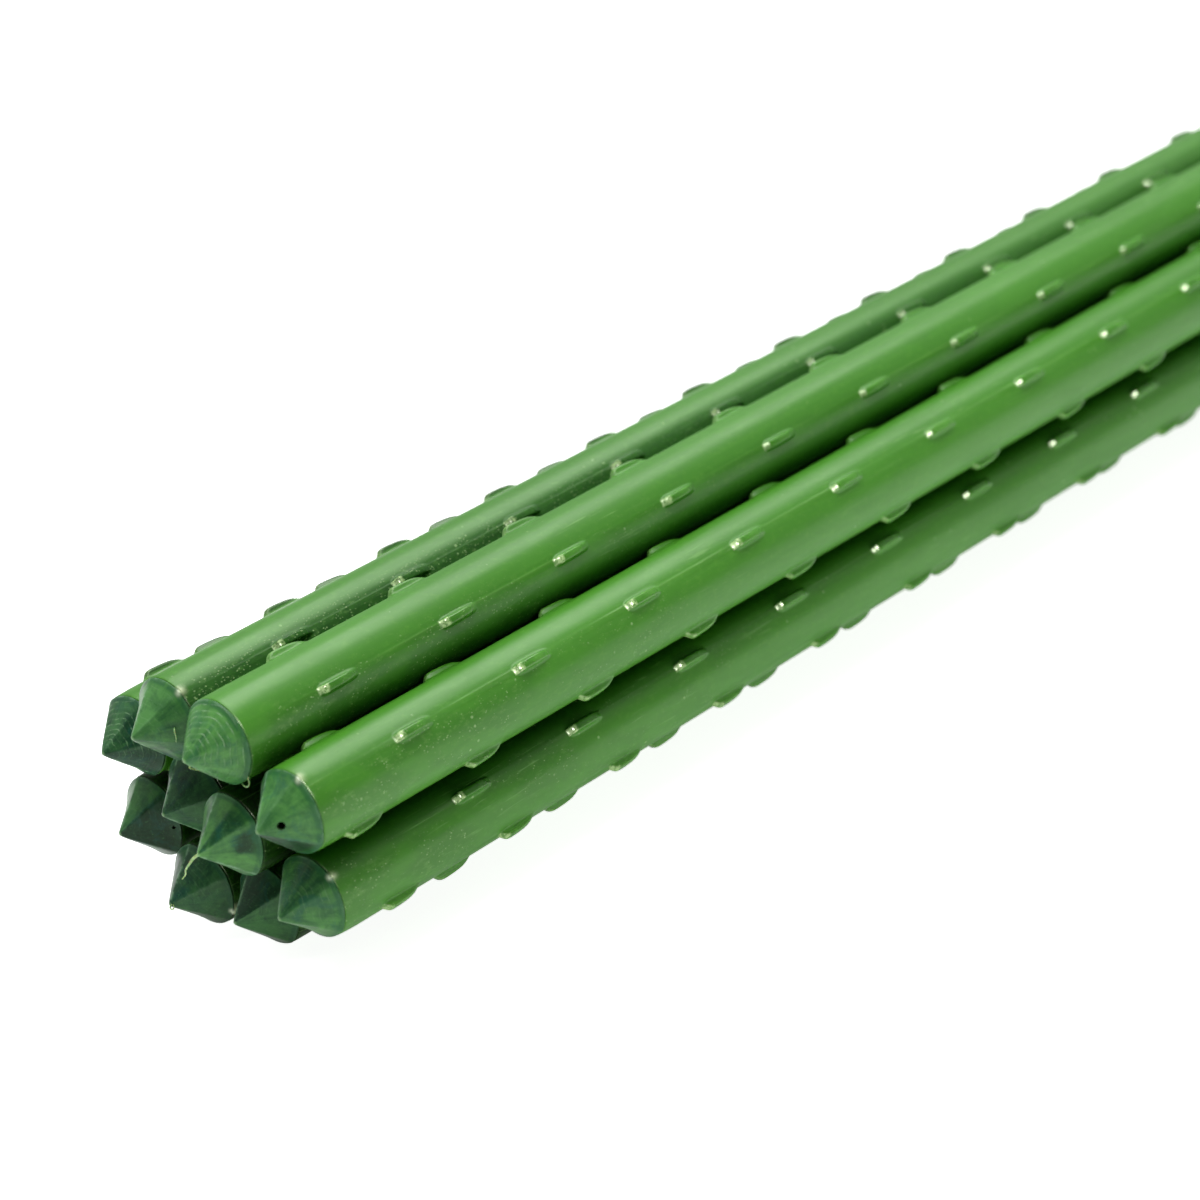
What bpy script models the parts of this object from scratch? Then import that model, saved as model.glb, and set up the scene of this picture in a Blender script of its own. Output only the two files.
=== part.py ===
"""Strapped pack of ten coated steel driveway snow markers.

Each marker is a thin steel tube inside a green plastic sheath, closed by a
pointed tip at one end and by a domed cap at the other.  The pack lies on its
two straps: the markers run along +Y, tips at the low end, and +Z is up.  The
origin is the middle of the pack's underside.  Each marker hangs from an empty
on its own axis, so it can be drawn out of the straps lengthwise.  Metres.
"""

import math

import bmesh
import bpy
from mathutils import Vector

# ---------------------------------------------------------------- dimensions
LENGTH = 0.900  # point of the tip to top of the dome
SHEATH_R = 0.0055
SHEATH_BORE_R = 0.0048
TUBE_R = 0.0046
TUBE_BORE_R = 0.0042
END_GAP = 0.0003  # from the tube and sheath to the tip and cap

# The tip and the cap each have a spigot that plugs the tube.
SPIGOT_R = 0.00392
SPIGOT_END_R = SPIGOT_R - 0.0007  # at the tapered end
SPIGOT_TAPER = 0.001  # length of the taper

TIP_CONE = 0.0056  # height of the cone
TIP_NOSE_R = 0.00030  # blunt end of the cone
TIP_NOSE = 0.00008  # height of the blunt end
TIP_SPIGOT = 0.016

CAP_R = 0.0056
CAP_COLLAR = 0.0030
CAP_DOME = 0.0042
CAP_DOME_STEPS = 3  # facets from the collar to the top of the dome
CAP_SPIGOT = 0.014
CAP_SEAT = LENGTH - CAP_COLLAR - CAP_DOME  # y of the collar's lower face

SLEEVE_START = TIP_CONE + END_GAP  # the tube and the sheath share both ends
SLEEVE_END = CAP_SEAT - END_GAP

STRAP_CLEAR = 0.00125  # from the sheaths to the strap
STRAP_INNER_R = SHEATH_R + STRAP_CLEAR  # inside of the strap, about a corner marker's axis
STRAP_T = 0.0006
STRAP_W = 0.012
STRAP_LAP = 0.026  # length where the strap is two layers thick
STRAP_LAP_RAMP = 0.0004  # length of the step at each end of the lap
STRAP_Y = {"strap_front": 0.255, "strap_rear": 0.655}  # in the pack's frame

SIDES = 20  # facets round a marker
ARC_STEP = math.radians(15.0)  # largest turn of one facet at a strap's corner
MARKER_SHARP = math.radians(40.0)  # edges that turn more than this stay sharp
STRAP_SHARP = math.radians(30.0)

# Where each marker lies in the pack: x, z, and y of its point.
LAYOUT = {
    "a": (-0.0166, 0.0062, 0.0044),
    "b": (-0.0036, 0.0125, 0.0007),
    "c": (0.0085, 0.0128, -0.0013),
    "d": (0.0181, 0.0053, -0.0005),
    "e": (0.0160, -0.0072, 0.0012),
    "f": (0.0040, -0.0120, 0.0034),
    "g": (-0.0081, -0.0120, 0.0031),
    "h": (-0.0187, -0.0060, 0.0055),
    "i": (-0.0059, 0.0004, 0.0038),
    "j": (0.0062, -0.0001, -0.0008),
}
RING = "hgfedcba"  # the outer markers, anticlockwise with x right and z up

GREEN = (0.045, 0.28, 0.10, 1.0)
TIP_GREEN = (0.025, 0.20, 0.11, 1.0)
STEEL = (0.56, 0.57, 0.58, 1.0)
BLACK = (0.02, 0.02, 0.022, 1.0)


# ------------------------------------------------------------------- helpers
def material(name, colour, roughness, metallic=0.0):
    mat = bpy.data.materials.new(name)
    mat.use_nodes = True
    shader = mat.node_tree.nodes["Principled BSDF"]
    shader.inputs["Base Color"].default_value = colour
    shader.inputs["Roughness"].default_value = roughness
    shader.inputs["Metallic"].default_value = metallic
    mat.diffuse_color = colour
    return mat


def finished_mesh(name, bm, mat, sharp_angle):
    """Turn the bmesh into a smooth-shaded mesh with its material."""
    bmesh.ops.recalc_face_normals(bm, faces=bm.faces)
    mesh = bpy.data.meshes.new(name)
    bm.to_mesh(mesh)
    bm.free()
    mesh.shade_smooth()
    mesh.set_sharp_from_angle(angle=sharp_angle)
    mesh.materials.append(mat)
    return mesh


def turned(name, profile, mat, hollow=False):
    """A body of revolution about Y from (radius, y) points.

    A hollow one has a closed profile clear of the axis; a solid one has an
    open profile with both of its ends on the axis.
    """
    bm = bmesh.new()
    verts = [bm.verts.new((radius, y, 0.0)) for radius, y in profile]
    edges = [bm.edges.new(pair) for pair in zip(verts, verts[1:])]
    if hollow:
        edges.append(bm.edges.new((verts[-1], verts[0])))
    bmesh.ops.spin(
        bm,
        geom=verts + edges,
        cent=(0.0, 0.0, 0.0),
        axis=(0.0, 1.0, 0.0),
        angle=2.0 * math.pi,
        steps=SIDES,
        use_merge=True,
        use_duplicate=False,
    )
    # The points on the axis are still repeated once for each step.
    bmesh.ops.remove_doubles(bm, verts=bm.verts, dist=1e-7)
    return finished_mesh(name, bm, mat, MARKER_SHARP)


def add_object(name, data, location=(0.0, 0.0, 0.0), parent=None):
    obj = bpy.data.objects.new(name, data)
    bpy.context.scene.collection.objects.link(obj)
    obj.location = location
    obj.parent = parent
    return obj


def add_empty(name, location, parent=None):
    obj = add_object(name, None, location, parent)
    obj.empty_display_size = 0.01
    return obj


# ------------------------------------------------------------- marker pieces
def sleeve_profile(bore, outer):
    return [
        (bore, SLEEVE_START),
        (outer, SLEEVE_START),
        (outer, SLEEVE_END),
        (bore, SLEEVE_END),
    ]


def tip_profile():
    """Cone, flat shoulder facing the sheath's end, and spigot."""
    end = TIP_CONE + TIP_SPIGOT
    return [
        (0.0, 0.0),
        (TIP_NOSE_R, TIP_NOSE),
        (SHEATH_R, TIP_CONE),
        (SPIGOT_R, TIP_CONE),
        (SPIGOT_R, end - SPIGOT_TAPER),
        (SPIGOT_END_R, end),
        (0.0, end),
    ]


def cap_profile():
    """Spigot, collar and dome, up to the end of the marker."""
    start = CAP_SEAT - CAP_SPIGOT
    dome_base = CAP_SEAT + CAP_COLLAR
    points = [
        (0.0, start),
        (SPIGOT_END_R, start),
        (SPIGOT_R, start + SPIGOT_TAPER),
        (SPIGOT_R, CAP_SEAT),
        (CAP_R, CAP_SEAT),
        (CAP_R, dome_base),
    ]
    for k in range(1, CAP_DOME_STEPS):
        angle = k * math.pi / 2 / CAP_DOME_STEPS
        points.append((CAP_R * math.cos(angle), dome_base + CAP_DOME * math.sin(angle)))
    points.append((0.0, LENGTH))
    return points


def marker_meshes():
    """The four meshes that all the markers share, by piece name."""
    steel = material("steel_tube", STEEL, roughness=0.38, metallic=1.0)
    coating = material("green_coating", GREEN, roughness=0.36)
    tip = material("green_tip", TIP_GREEN, roughness=0.30)
    cap = material("green_cap", GREEN, roughness=0.34)
    return {
        "tube": turned("tube", sleeve_profile(TUBE_BORE_R, TUBE_R), steel, hollow=True),
        "sheath": turned("sheath", sleeve_profile(SHEATH_BORE_R, SHEATH_R), coating, hollow=True),
        "tip": turned("tip", tip_profile(), tip),
        "cap": turned("cap", cap_profile(), cap),
    }


# -------------------------------------------------------------------- straps
# A strap's path is worked out in 2D: a vector's x is the pack's x, its y is z.
def corner_angles(start, end):
    """Angles from start up to end, evenly spaced and no further apart than ARC_STEP."""
    # The small allowance keeps rounding from adding a step to an exact fit.
    steps = max(1, math.ceil((end - start) / ARC_STEP - 1e-9))
    return [start + (end - start) * k / steps for k in range(steps + 1)]


def neighbours(points):
    """Each point of a closed loop as (before, point, after)."""
    return zip(points[-1:] + points[:-1], points, points[1:] + points[:1])


def strap_path():
    """(point, outward normal) along the inside of the strap: an arc round each
    corner marker and a straight run between."""
    centres = [Vector(LAYOUT[key][:2]) for key in RING]
    corners = [
        centre
        for before, centre, after in neighbours(centres)
        if (centre - before).cross(after - centre) > 1e-9  # turns left
    ]
    path = []
    for before, centre, after in neighbours(corners):
        run_in, run_out = centre - before, after - centre
        start = math.atan2(run_in.y, run_in.x) - math.pi / 2
        end = math.atan2(run_out.y, run_out.x) - math.pi / 2
        if end < start:
            end += 2.0 * math.pi
        for angle in corner_angles(start, end):
            normal = Vector((math.cos(angle), math.sin(angle)))
            path.append((centre + normal * STRAP_INNER_R, normal))
    return path


def with_lap(path):
    """The path as (point, normal, layers), with points added where the lap
    starts and stops.  The lap is centred on the path's highest point."""
    count = len(path)
    lengths = [0.0]
    for i in range(count):
        lengths.append(lengths[-1] + (path[(i + 1) % count][0] - path[i][0]).length)
    middle = lengths[max(range(count), key=lambda i: path[i][0].y)]
    lap_start, lap_end = middle - STRAP_LAP / 2, middle + STRAP_LAP / 2
    marks = [  # distance along the path, layers
        (lap_start - STRAP_LAP_RAMP, 1),
        (lap_start, 2),
        (lap_end, 2),
        (lap_end + STRAP_LAP_RAMP, 1),
    ]
    lapped = []
    for i, (point, normal) in enumerate(path):
        next_point, next_normal = path[(i + 1) % count]
        here, ahead = lengths[i], lengths[i + 1]
        lapped.append((point, normal, 2 if lap_start <= here <= lap_end else 1))
        for at, layers in marks:
            if here < at < ahead:
                part = (at - here) / (ahead - here)
                mark_normal = normal.lerp(next_normal, part).normalized()
                lapped.append((point.lerp(next_point, part), mark_normal, layers))
    return lapped


def strap_mesh(path, mat):
    """One closed band, STRAP_W wide and centred on y = 0."""
    lapped = with_lap(path)
    inner_loop = [point for point, _, _ in lapped]
    outer_loop = [point + normal * STRAP_T * layers for point, normal, layers in lapped]
    bm = bmesh.new()
    # Four loops of vertices, in order round the band's cross-section.
    low_y, high_y = -STRAP_W / 2, STRAP_W / 2
    loops = [
        [bm.verts.new((point.x, y, point.y)) for point in points]
        for points, y in (
            (inner_loop, low_y),
            (outer_loop, low_y),
            (outer_loop, high_y),
            (inner_loop, high_y),
        )
    ]
    for i in range(len(lapped)):
        k = (i + 1) % len(lapped)
        for _, loop, next_loop in neighbours(loops):
            bm.faces.new((loop[i], loop[k], next_loop[k], next_loop[i]))
    return finished_mesh("strap", bm, mat, STRAP_SHARP)


# --------------------------------------------------------------------- build
def pack_location(path):
    """Puts the origin at the middle of the underside, with the straps on the ground."""
    outline = [point + normal * STRAP_T for point, normal in path]
    across = [point.x for point in outline]
    tips = [tip_y for _, _, tip_y in LAYOUT.values()]
    return (
        -(min(across) + max(across)) / 2,
        -(min(tips) + max(tips) + LENGTH) / 2,
        -min(point.y for point in outline),
    )


def build():
    path = strap_path()
    pack = add_empty("pack", pack_location(path))

    meshes = marker_meshes()
    for key, (x, z, tip_y) in LAYOUT.items():
        axis = add_empty(f"marker_{key}", (x, tip_y, z), pack)
        for piece, mesh in meshes.items():
            add_object(f"marker_{key}_{piece}", mesh, parent=axis)

    band = strap_mesh(path, material("black_strap", BLACK, roughness=0.45))
    for name, y in STRAP_Y.items():
        add_object(name, band, (0.0, y, 0.0), pack)


for old in list(bpy.data.objects):
    bpy.data.objects.remove(old, do_unlink=True)
build()
bpy.context.view_layer.update()
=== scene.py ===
"""Looks for a strapped pack of ten driveway snow markers.

The markers lie along Y with their points towards -Y and their caps towards +Y.
X runs across the pack, Z is up, and the pack rests on a floor just under Z = 0.
The CAD model fixes where everything is. Each plain sheath, tip, cap and strap is
replaced by a fine mesh in the same place, every piece gets a procedural material,
and a plain pale studio is set up. Lengths are in metres unless a comment says mm.
"""

import math
from collections import namedtuple

import bpy
import bmesh
import numpy as np
from mathutils import Matrix, Vector


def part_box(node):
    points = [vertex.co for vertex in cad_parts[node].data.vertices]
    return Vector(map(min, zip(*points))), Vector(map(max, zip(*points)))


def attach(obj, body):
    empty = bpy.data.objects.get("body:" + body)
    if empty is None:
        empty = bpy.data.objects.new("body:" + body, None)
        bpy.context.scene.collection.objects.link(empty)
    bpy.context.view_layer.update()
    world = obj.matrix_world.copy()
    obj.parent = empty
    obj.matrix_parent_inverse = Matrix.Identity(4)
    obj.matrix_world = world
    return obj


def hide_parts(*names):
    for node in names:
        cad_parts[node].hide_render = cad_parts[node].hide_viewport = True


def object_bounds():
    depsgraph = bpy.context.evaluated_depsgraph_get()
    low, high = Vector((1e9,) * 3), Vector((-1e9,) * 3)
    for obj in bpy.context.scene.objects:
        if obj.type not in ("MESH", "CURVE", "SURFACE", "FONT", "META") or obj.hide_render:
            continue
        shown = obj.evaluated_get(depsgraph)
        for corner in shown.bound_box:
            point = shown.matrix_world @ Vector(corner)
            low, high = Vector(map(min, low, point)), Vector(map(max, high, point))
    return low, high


MM = 0.001
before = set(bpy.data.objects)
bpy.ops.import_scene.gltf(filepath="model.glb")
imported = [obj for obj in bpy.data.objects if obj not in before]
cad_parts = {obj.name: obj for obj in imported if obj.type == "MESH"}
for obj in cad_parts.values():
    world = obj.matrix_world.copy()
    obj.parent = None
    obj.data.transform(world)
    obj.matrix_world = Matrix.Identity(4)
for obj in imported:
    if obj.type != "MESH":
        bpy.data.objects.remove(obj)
cad_low, cad_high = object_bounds()
scene = bpy.context.scene
Axis = namedtuple("Axis", "x z")  # where the axis of a marker lies

# ---------------------------------------------------------------- dimensions
MARKERS = "abcdefghij"
OUTER_MARKERS = "abcdefgh"  # the straps bear on these
BORE = 0.0048  # radius inside a sheath
PLUG = 0.0039  # radius of the plugs of tips and caps
PLUG_CHAMFER = 0.0007
END_GAP = 0.0003  # from a sheath's CAD ends to the tip's rim and the cap's seat
CAP_HEAD = 0.0056  # radius of a cap's head
CAP_COLLAR = 0.0030
CAP_DOME = 0.0042

# Rows of nubs run along each marker. For each row, in rising order: its direction
# across the marker, in degrees from +X towards +Z, how far behind the cone's rim
# its first nub starts, in mm, its pitch, in mm, and how it wanders round the
# marker, in degrees per mm, where it does.
PITCH = 20.0


def even_rows(first, starts):
    return [(first + 90.0 * k, start, PITCH) for k, start in enumerate(starts)]


ROWS = {
    "a": even_rows(116.4, (4.6, 12.0, 1.6, 9.0)),
    "b": [(41.4, 14.3, PITCH), (138.0, 8.5, PITCH, 0.055), (221.4, 1.8, PITCH),
          (311.4, 11.4, PITCH)],
    "c": [(22.2, 11.6, PITCH), (121.5, 11.2, PITCH), (202.2, 2.2, PITCH), (292.2, 6.8, PITCH)],
    "d": [(42.0, 13.6, 19.92), (132.0, 5.9, PITCH), (222.0, 12.5, PITCH), (312.0, 3.8, 19.7)],
    "e": [(42.9, 0.45, 19.86), (132.9, 9.6, PITCH), (222.9, 14.2, PITCH), (284.5, 16.8, 19.35),
          (320.5, 6.2, 19.7)],
    "f": even_rows(12.0, (4.4, 12.8, 7.1, 16.0)),
    "g": even_rows(12.0, (9.3, 2.1, 15.7, 6.6)),
    "h": even_rows(0.0, (3.2, 11.4, 6.0, 14.9)),
    "i": even_rows(9.0, (8.1, 15.6, 2.8, 11.2)),
    "j": even_rows(9.0, (6.6, 13.3, 4.9, 10.1)),
}
# Stations along a nub: mm from its foot, and its height and width there as shares.
# It rises steeply at the end towards the tips and falls away slowly at the other.
NUB_STATIONS = (
    (0.0, 0.0, 0.5), (0.20, 0.14, 0.72), (0.42, 0.40, 0.86), (0.64, 0.66, 0.94),
    (0.86, 0.86, 0.98), (1.10, 0.96, 1.0), (1.45, 1.0, 1.0), (2.1, 1.0, 1.0),
    (3.0, 0.96, 1.0), (3.9, 0.89, 0.99), (4.6, 0.78, 0.98), (5.2, 0.60, 0.96),
    (5.65, 0.39, 0.93), (6.0, 0.19, 0.89), (6.25, 0.06, 0.84), (6.5, 0.0, 0.78),
)
NUB_LENGTH = NUB_STATIONS[-1][0]  # mm, between the feet of its ends
NUB_HEIGHT = 0.95  # mm
ALL_STATIONS = range(len(NUB_STATIONS))
COARSE_STATIONS = (0, 2, 4, 6, 9, 11, 13, 15)  # those kept far from the tips
FINE_UNTIL = 250.0  # mm from the tips
# Half the section across a nub: mm from its middle, and the share of its height.
HALF_T = (0.0, 0.20, 0.34, 0.43, 0.52, 0.62, 0.74, 0.90, 1.15)
HALF_HEIGHT = (1.0, 0.992, 0.965, 0.88, 0.60, 0.27, 0.08, 0.012, 0.0)
ACROSS = tuple(-t for t in HALF_T[:0:-1]) + HALF_T
FLAT_SECTION = (0.0, 1.0, 0.0, 0.0)  # the section of a row between its nubs
WEAR_AND_HIGHLIGHT_SIDE = 28.5  # the direction, in degrees, in which the near ends of the nubs are painted palest: partly wear, partly painted highlight

# Each point was pinched while it was soft: the directions of its creases in
# degrees, in rising order, how flat the faces between them are, how strongly
# turning marks show, how light it is painted overall (painted light and shade),
# where its rim has a burr, and the painted light and shade of the face that
# follows each crease, from dark to pale.
Tip = namedtuple("Tip", "creases flatness turned paleness burrs tones")
TIPS = {
    "a": Tip((1.0, 62.0, 132.0, 205.0, 292.0), 0.62, 0.50, 0.18, (),
             (0.30, 0.55, 0.50, 0.40, 0.20)),
    "b": Tip((52.0, 107.0, 190.0, 262.0, 336.0), 0.58, 0.12, 0.54, (50.0,),
             (0.85, 0.95, 0.60, 0.40, 0.55)),
    "c": Tip((38.0, 150.0, 262.0), 0.10, 1.0, 0.85, (), (0.62, 0.66, 0.60)),
    "d": Tip((66.0, 122.0, 196.0, 262.0, 322.0), 0.60, 0.06, 0.74, (60.0,),
             (0.54, 0.48, 0.42, -0.50, 0.60)),
    "e": Tip((30.0, 76.0, 134.0, 215.0, 320.0), 0.42, 0.20, 0.66, (41.0,),
             (0.36, 0.44, 0.40, 0.66, 0.48)),
    "f": Tip((35.0, 112.0, 190.0, 245.0, 300.0), 0.72, 0.06, 0.24, (),
             (0.10, 0.30, 0.40, 0.70, 0.78)),
    "g": Tip((24.0, 100.0, 168.0, 240.0, 310.0), 0.52, 0.10, 0.18, (330.0,),
             (0.40, 0.45, 0.40, 0.70, 0.70)),
    "h": Tip((52.0, 104.0, 180.0, 244.0, 303.0), 0.72, 0.06, 0.30, (),
             (0.70, 1.00, 0.50, 0.10, -0.40)),
    "i": Tip((14.0, 112.0, 180.0, 230.0, 282.0), 0.70, 0.06, 0.12, (),
             (0.42, 0.45, 0.40, 0.55, 0.70)),
    "j": Tip((33.0, 66.0, 104.0, 176.0, 240.0, 298.0), 0.72, 0.06, 0.74, (),
             (0.08, 0.74, 0.60, 0.50, 0.50, 0.80)),
}
# Darker patches painted on the points: marker, direction in degrees, half width in
# degrees, the shares of the way up the cone between which it sets in, and its strength.
# The one on j is painted shadow from the points beside it.
DARK_PATCHES = (
    ("j", 2.0, 24.0, 0.50, 0.76, 1.3),
    ("d", 290.0, 22.0, 0.50, 0.95, 0.3),
    ("e", 62.0, 22.0, 0.55, 0.95, 0.5),
    ("a", 330.0, 25.0, 0.4, 0.9, 0.3),
)
# Pinholes where air was trapped: marker, direction in degrees, share of the way
# up the cone, and diameter in mm.
PINHOLES = (("d", 3.9, 0.385, 0.92), ("h", -5.6, 0.85, 0.42))
RIM_FLAT = 0.30  # the share of the flattening that is left at the rim
PINCH = 3.4  # mm of the sheath that the pinching reached
TURNS = 10.5  # turning marks from the point to the rim

# Shreds of plastic left by the cutting: which marker, where it springs from (the
# direction in degrees and the share of the way up the cone), its course from
# there in mm, and its thickness in mm.
SHREDS = (
    ("j", 0.0, 0.0, ((0.1, 0.3, 0.1), (-0.55, -0.25, -0.35), (-1.3, -0.45, -1.1),
                     (-2.5, -0.5, -2.3), (-3.2, -0.2, -3.2), (-3.7, -0.5, -3.8)), 0.42),
    ("g", 0.0, 0.0, ((0.2, 0.3, 0.0), (0.25, -0.2, -0.30), (0.75, -0.35, -0.35),
                     (1.25, -0.35, -0.05), (1.25, -0.3, 0.45)), 0.34),
    ("b", -4.0, 0.66, ((-0.1, 0.1, 0.6), (0.25, -0.25, 0.35), (0.45, -0.35, -0.25),
                       (0.25, -0.35, -0.85), (-0.15, -0.1, -1.15)), 0.28),
    ("c", -45.0, 1.0, ((-0.1, 0.1, 0.1), (0.3, -0.2, -0.5), (0.1, -0.35, -0.95),
                       (-0.45, -0.4, -1.0), (-0.85, -0.4, -0.7)), 0.30),
    ("c", -128.0, 0.30, ((0.1, 0.2, 0.2), (-0.1, -0.2, -0.35), (0.5, 0.3, -0.75),
                         (1.2, 1.0, -1.1), (2.0, 1.9, -1.2)), 0.26),
)


# ------------------------------------------------------------------- helpers
def rng_for(name):
    return np.random.default_rng(sum(ord(ch) * (i + 3) for i, ch in enumerate(name)) + 11)


def bell(offset, width):
    return math.exp(-((offset / width) ** 2))


def clamp(value):
    return min(1.0, max(0.0, value))


def turn_from(centre, angle):
    """The signed turn from one direction to another, in degrees."""
    return (angle - centre + 180.0) % 360.0 - 180.0


def around(axis, r, theta, y):
    return (axis.x + r * math.cos(theta), y, axis.z + r * math.sin(theta))


def axis_of(key):
    low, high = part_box(f"marker_{key}_sheath")
    return Axis((low.x + high.x) / 2, (low.z + high.z) / 2)


def join_rings(rings):
    """The quads between each closed ring of vertices and the next."""
    faces = []
    for a, b in zip(rings, rings[1:]):
        for i in range(len(a)):
            j = (i + 1) % len(a)
            faces.append((a[i], a[j], b[j], b[i]))
    return faces


def new_mesh(name, verts, faces):
    """A smooth mesh with its normals facing outwards."""
    mesh = bpy.data.meshes.new(name)
    mesh.from_pydata([tuple(v) for v in verts], [], [tuple(f) for f in faces])
    mesh.validate()
    bm = bmesh.new()
    bm.from_mesh(mesh)
    bmesh.ops.recalc_face_normals(bm, faces=bm.faces)
    bm.to_mesh(mesh)
    bm.free()
    mesh.shade_smooth()
    return mesh


def add_object(name, data):
    obj = bpy.data.objects.new(name, data)
    scene.collection.objects.link(obj)
    return obj


def add_piece(name, mesh, material, body, node=None):
    obj = add_object(name, mesh)
    mesh.materials.append(material)
    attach(obj, body)
    if node:
        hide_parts(node)
    return obj


def set_attribute(mesh, name, values):
    layer = mesh.attributes.new(name, "FLOAT", "POINT")
    layer.data.foreach_set("value", np.asarray(values, np.float32))


def facet_inset(key, theta):
    """How far a flat face between two creases lies inside the circle, as a share."""
    full = 2 * math.pi
    edges = sorted(math.radians(c) % full for c in TIPS[key].creases)
    theta %= full
    below = ([e for e in edges if e <= theta] or [edges[-1] - full])[-1]
    above = ([e for e in edges if e > theta] or [edges[0] + full])[0]
    half = min((above - below) / 2, math.radians(50))
    off = min(abs(theta - (below + above) / 2), half)
    value = math.cos(half) / math.cos(off)
    # The crease is rounded over.
    rounding = bell(min(theta - below, above - theta), 0.075)
    return (value - 1.0) * (1.0 - rounding * 0.30) - 0.010 * rounding


# ------------------------------------------------------------------- sheaths
class Sheath:
    """The coating of one marker: a watertight sleeve with rows of nubs."""

    LIP = 0.00016  # the sleeve's ends are rounded over
    RIM_MARKS = (0.35, 0.7, 1.1, 1.6, 2.4, 3.4)  # mm, stations close to the rim
    PANEL = 8.5  # about how wide a panel between rows is, in degrees
    ROW_EDGE = HALF_T[-1]  # mm from the middle of a row to its edge

    def __init__(self, name, key, axis, start, end, radius, rim):
        self.name, self.key, self.axis = name, key, axis
        self.start, self.end, self.radius, self.rim = start, end, radius, rim
        self.first, self.last = start + self.LIP, end - self.LIP
        self.rim_marks = [self.first + d * MM for d in self.RIM_MARKS]
        self.jitter = rng_for(name)
        self.verts, self.faces = [], []
        self.marks = {"nub": [], "line": [], "torn": [], "nose": []}

    def vertex(self, theta, r, y, nub=0.0, line=0.0, nose=0.0):
        """Adds a vertex, pinched and burred if it is close to the rim."""
        tip = TIPS[self.key]
        reach = 1.0 - (y - self.start) / (PINCH * MM)
        torn = 0.0
        if reach > 0.0 and r > BORE + 0.0003:
            r *= 1.0 + tip.flatness * RIM_FLAT * facet_inset(self.key, theta) * reach * reach
            near_rim = max(0.0, 1.0 - (y - self.start) / MM)
            for burr in tip.burrs:
                torn = max(torn, bell(turn_from(burr, math.degrees(theta)), 5.0) * near_rim)
            r += 0.00030 * torn
        self.verts.append(around(self.axis, r, theta, y))
        for values, value in zip(self.marks.values(), (nub, line, torn, nose)):
            values.append(value)
        return len(self.verts) - 1

    def row_stations(self, angle, start, pitch):
        """The stations of a row: where each is along Y, and its section, which is
        its height in mm, its width as a share, its sideways shift and its share of the pale
        paint on the nub's near end, partly wear and partly painted highlight."""
        toward_highlight_side = math.cos(math.radians(angle - WEAR_AND_HIGHLIGHT_SIDE))
        wear_and_highlight = 0.25 + 0.75 * clamp((toward_highlight_side - 0.05) / 0.5)
        foot = self.rim + start * MM
        while foot < self.first + 0.0001:
            foot += pitch * MM
        stations = []
        while foot + NUB_LENGTH * MM < self.last - 0.0005:
            height = NUB_HEIGHT * (1.0 + self.jitter.normal(0, 0.035))
            stretch = 1.0 + self.jitter.normal(0, 0.012)
            skew = self.jitter.normal(0, 0.05)  # mm that the far end wanders sideways
            pale_to = 1.3 if foot < self.start + 0.075 else 0.75
            fine = foot < self.start + FINE_UNTIL * MM
            for i in ALL_STATIONS if fine else COARSE_STATIONS:
                along, high, wide = NUB_STATIONS[i]
                s = along * stretch
                end_wear_and_highlight = wear_and_highlight if 0.1 < along < pale_to else 0.0
                section = (high * height, wide, skew * s / NUB_LENGTH, end_wear_and_highlight)
                stations.append((foot + s * MM, section))
            foot += pitch * MM
        nub_from, nub_to = stations[0][0] - 0.0002, stations[0][0] + 0.0069
        for y in self.rim_marks:
            if not nub_from <= y <= nub_to:
                stations.append((y, FLAT_SECTION))
        stations.sort(key=lambda station: station[0])
        return [(self.first, FLAT_SECTION)] + stations + [(self.last, FLAT_SECTION)]

    def add_row(self, angle, start, pitch, wander=0.0):
        """One strip with its nubs. Gives its direction, its Ys and its vertices."""
        theta_row = math.radians(angle)
        drift = math.radians(wander) / MM
        stations = self.row_stations(angle, start, pitch)
        rows = []
        for y, (height, width, skew, end_wear_and_highlight) in stations:
            row = []
            for t in ACROSS:
                h = height * float(np.interp(abs(t) / width, HALF_T, HALF_HEIGHT))
                shift = skew * max(0.0, 1.0 - abs(t) / self.ROW_EDGE)
                theta = theta_row + drift * min(y - self.start, 0.3)
                theta += (t + shift) / (self.radius / MM)
                row.append(self.vertex(
                    theta, self.radius + h * MM, y, nub=h / NUB_HEIGHT,
                    line=bell(t - 0.34, 0.13), nose=end_wear_and_highlight if abs(t) < 0.47 else 0.0,
                ))
            rows.append(row)
        for a, b in zip(rows, rows[1:]):
            for i in range(len(ACROSS) - 1):
                self.faces.append((a[i], a[i + 1], b[i + 1], b[i]))
        return theta_row, [y for y, _ in stations], rows

    def stitch(self, border, border_y, line, line_y, flip):
        """Joins the many vertices beside a row to the few of a panel's line."""
        border_y = np.array(border_y)
        picks = [0]
        picks += [int(np.argmin(np.abs(border_y - y))) for y in line_y[1:-1]]
        picks.append(len(border) - 1)
        for j in range(1, len(picks)):
            picks[j] = max(picks[j], picks[j - 1])
        for j in range(len(line_y) - 1):
            face = border[picks[j] : picks[j + 1] + 1] + [line[j + 1], line[j]]
            self.faces.append(tuple(face if flip else face[::-1]))

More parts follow.
